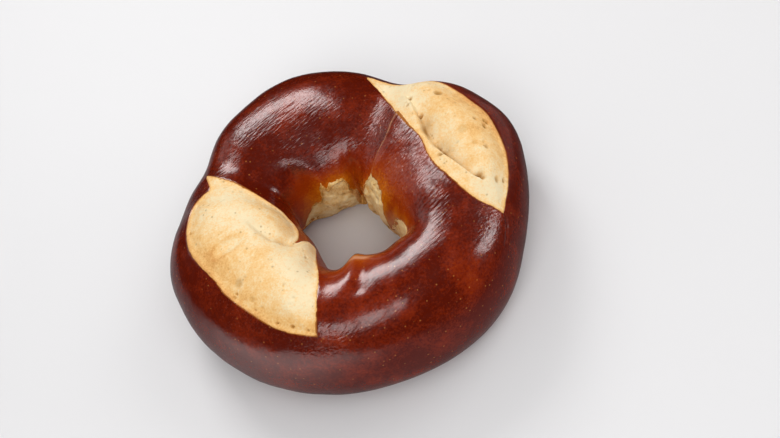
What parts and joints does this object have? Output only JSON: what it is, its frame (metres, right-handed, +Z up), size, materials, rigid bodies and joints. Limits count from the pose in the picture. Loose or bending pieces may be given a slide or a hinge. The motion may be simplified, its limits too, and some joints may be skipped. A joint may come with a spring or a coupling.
{
  "type": "pretzel bagel",
  "caption": "Ring of baked dough lying flat, with a glossy dark lye crust, pale burst splits over the top and a hole through the middle.",
  "frame": {"origin": "bottom centre of the bagel's box, on the surface it lies on", "axes": "+Z up through the hole, +X along the ring's longer side, +Y towards the side with the torn hole wall"},
  "size_m": [0.1182, 0.1134, 0.0422],
  "materials": {
    "crust": "glossy mahogany lye crust",
    "crumb": "pale matt crumb in the splits and the torn places, faintly toasted"
  },
  "bodies": {
    "root": {"bagel": "crust"}
  },
  "joints": []
}
